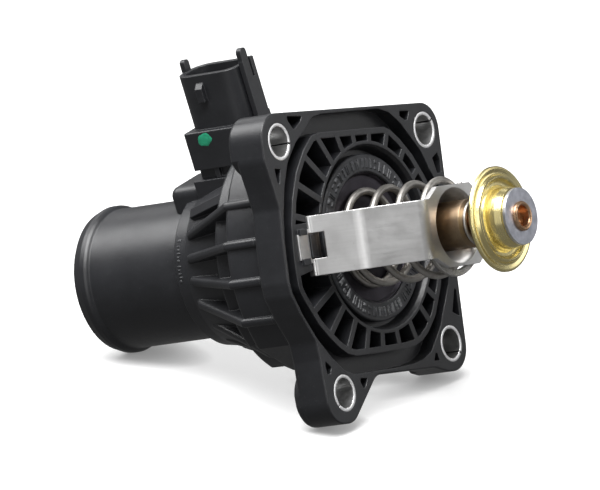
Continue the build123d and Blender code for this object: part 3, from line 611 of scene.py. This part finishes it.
def paint_dot(cx, cz, r):
    rng = np.random.RandomState(3)
    segs, rings = 48, 7
    amp = 1 + 0.10 * np.sin(2 * np.linspace(0, 2 * math.pi, segs, endpoint=False) + 0.7) + 0.05 * np.sin(
        5 * np.linspace(0, 2 * math.pi, segs, endpoint=False) + 2.0) + 0.02 * rng.randn(segs)
    verts = [plug_point(cx, -7.3 - 0.13, cz)]
    for k in range(1, rings + 1):
        t = k / rings
        h = 0.13 * math.sqrt(max(0.0, 1 - t ** 2.4)) - 0.02 * (k == rings)
        for j in range(segs):
            a = 2 * math.pi * j / segs
            rr = r * t * (1 + (amp[j] - 1) * t)
            verts.append(plug_point(cx + rr * math.cos(a), -7.3 - h, cz + rr * 0.88 * math.sin(a)))
    faces = []
    for j in range(segs):
        faces.append((0, 1 + j, 1 + (j + 1) % segs))
    for k in range(rings - 1):
        for j in range(segs):
            a, b = 1 + k * segs + j, 1 + k * segs + (j + 1) % segs
            faces.append((a, a + segs, b + segs, b))
    o = mesh_object("paint_dot", verts, faces, GREEN)
    smooth_by_angle(o, 60)
    return o


dot = paint_dot(-35.5, 32.0, 2.0)
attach(dot, "housing_body")

# ------------------------------------------------------------------ floor, light, camera
FLOOR_N = Vector((0.274, -0.185, 0.944)).normalized()
lowest = min(FLOOR_N.dot(v.co) for o in nodes.values() for v in o.data.vertices)


FLOOR_GLOW = 0.68


def floor_material():
    m = Mat("studio_floor")
    n1 = m.noise(9, 3, 0.5)
    col = m.mix(n1, (0.44, 0.44, 0.44), (0.46, 0.46, 0.46))
    m.set(color=col, rough=0.42, metal=0.0, spec=0.25)
    x, y, z = m.xyz()
    rad = m.math("SQRT", m.math("ADD", m.math("MULTIPLY", x, x), m.math("MULTIPLY", y, y)))
    fade = m.ramp(rad, 0.26, 0.44, 0.0, 1.0)
    tr = m.n("ShaderNodeBsdfTransparent")
    mx = m.n("ShaderNodeMixShader")
    glow = m.n("ShaderNodeEmission")
    # painted contact shadow: the floor's glow is dimmed by ambient occlusion close to the object
    near = m.n("ShaderNodeAmbientOcclusion", samples=12)
    near.inputs["Distance"].default_value = 0.0065
    shade = m.ramp(m.math("POWER", near.outputs["AO"], 1.5), 0.0, 1.0, 0.30, 1.0)
    m.l(m.math("MULTIPLY", shade, FLOOR_GLOW), glow.inputs["Strength"])
    both = m.n("ShaderNodeAddShader")
    m.l(m.bsdf.outputs[0], both.inputs[0])
    m.l(glow.outputs[0], both.inputs[1])
    m.l(fade, mx.inputs[0])
    m.l(both.outputs[0], mx.inputs[1])
    m.l(tr.outputs[0], mx.inputs[2])
    m.l(mx.outputs[0], m.out.inputs["Surface"])
    return m.m


def build_floor():
    segs, rings = 64, 12
    verts, faces = [(0, 0, 0)], []
    for k in range(1, rings + 1):
        r = 460 * k / rings
        for j in range(segs):
            a = 2 * math.pi * j / segs
            verts.append((r * math.cos(a), r * math.sin(a), 0))
    for j in range(segs):
        faces.append((0, 1 + j, 1 + (j + 1) % segs))
    for k in range(rings - 1):
        for j in range(segs):
            a, b = 1 + k * segs + j, 1 + k * segs + (j + 1) % segs
            faces.append((a, a + segs, b + segs, b))
    o = mesh_object("floor", verts, faces, floor_material())
    q = Vector((0, 0, 1)).rotation_difference(FLOOR_N)
    o.matrix_world = Matrix.Translation(FLOOR_N * (lowest - 0.00005)) @ q.to_matrix().to_4x4()
    return o


floor = build_floor()
floor.visible_diffuse = False
floor.visible_glossy = False

RIGHT = Vector((0.8087, 0.5746, -0.1259))
UP = Vector((0.1157, 0.0544, 0.9917))
BACK = Vector((0.5768, -0.8166, -0.0225))
cam_data = bpy.data.cameras.new("camera")
cam_data.sensor_fit = "HORIZONTAL"
cam_data.sensor_width = 36.0
cam_data.lens = 501.5
cam_data.clip_start = 0.05
cam_data.clip_end = 60.0
cam = bpy.data.objects.new("camera", cam_data)
scene.collection.objects.link(cam)
rot = Matrix((RIGHT, UP, BACK)).transposed()
cam.matrix_world = Matrix.Translation(Vector((1.1476, -1.6570, -0.0450))) @ rot.to_4x4()
scene.camera = cam


def softbox(name, position, target, size, power, color=(1, 1, 1), size_y=None):
    d = bpy.data.lights.new(name, "AREA")
    d.shape = "RECTANGLE"
    d.size = size
    d.size_y = size_y or size
    d.energy = power
    d.color = color
    o = bpy.data.objects.new(name, d)
    scene.collection.objects.link(o)
    o.location = position
    look = (Vector(target) - Vector(position)).normalized()
    o.rotation_euler = look.to_track_quat("-Z", "Y").to_euler()
    return o


# directions are given in the floor's own axes: n up, a towards the camera along the floor, b to the camera's right
N = FLOOR_N
A = (BACK - N * BACK.dot(N)).normalized()
B = A.cross(N) * -1
if B.dot(RIGHT) < 0:
    B = -B


def at(right, up, near):
    return B * right + N * up + A * near


softbox("top_box", at(-0.20, 1.20, 0.32), (0, 0, 0), 1.0, 40.0)
softbox("left_box", at(-0.95, 0.86, -0.42), (-0.04, 0, 0), 0.75, 11.0)
softbox("back_box", at(-0.35, 0.75, -1.25), (0, 0, 0), 0.6, 1.5)
softbox("front_box", at(-0.55, 0.55, 1.7), (0, 0, 0), 1.5, 4.5)
softbox("right_box", at(1.35, 0.55, -0.20), (0, 0, 0), 0.8, 3.3)
softbox("bend_strip", Vector((0.70, -1.47, 0.10)), (0, 0, 0), 0.16, 0.9, size_y=0.8)
softbox("plate_strip", Vector((1.45, 0.30, 0.12)), (0, 0, 0), 0.34, 4.2, size_y=0.9)

# the studio's white wall is seen by the camera at full strength, and lights the object softly
world = bpy.data.worlds.new("studio")
scene.world = world
world.use_nodes = True
wt = world.node_tree
wt.nodes.clear()
w_out = wt.nodes.new("ShaderNodeOutputWorld")
w_mix = wt.nodes.new("ShaderNodeMixShader")
w_path = wt.nodes.new("ShaderNodeLightPath")
w_soft = wt.nodes.new("ShaderNodeBackground")
w_white = wt.nodes.new("ShaderNodeBackground")
w_soft.inputs[0].default_value = (1, 1, 1, 1)
w_soft.inputs[1].default_value = 0.17
w_white.inputs[0].default_value = (1, 1, 1, 1)
w_white.inputs[1].default_value = 1.0
wt.links.new(w_path.outputs["Is Camera Ray"], w_mix.inputs[0])
wt.links.new(w_soft.outputs[0], w_mix.inputs[1])
wt.links.new(w_white.outputs[0], w_mix.inputs[2])
wt.links.new(w_mix.outputs[0], w_out.inputs["Surface"])

scene.view_settings.view_transform = "Standard"
scene.view_settings.look = "None"
scene.view_settings.exposure = 0.0
scene.cycles.use_denoising = True
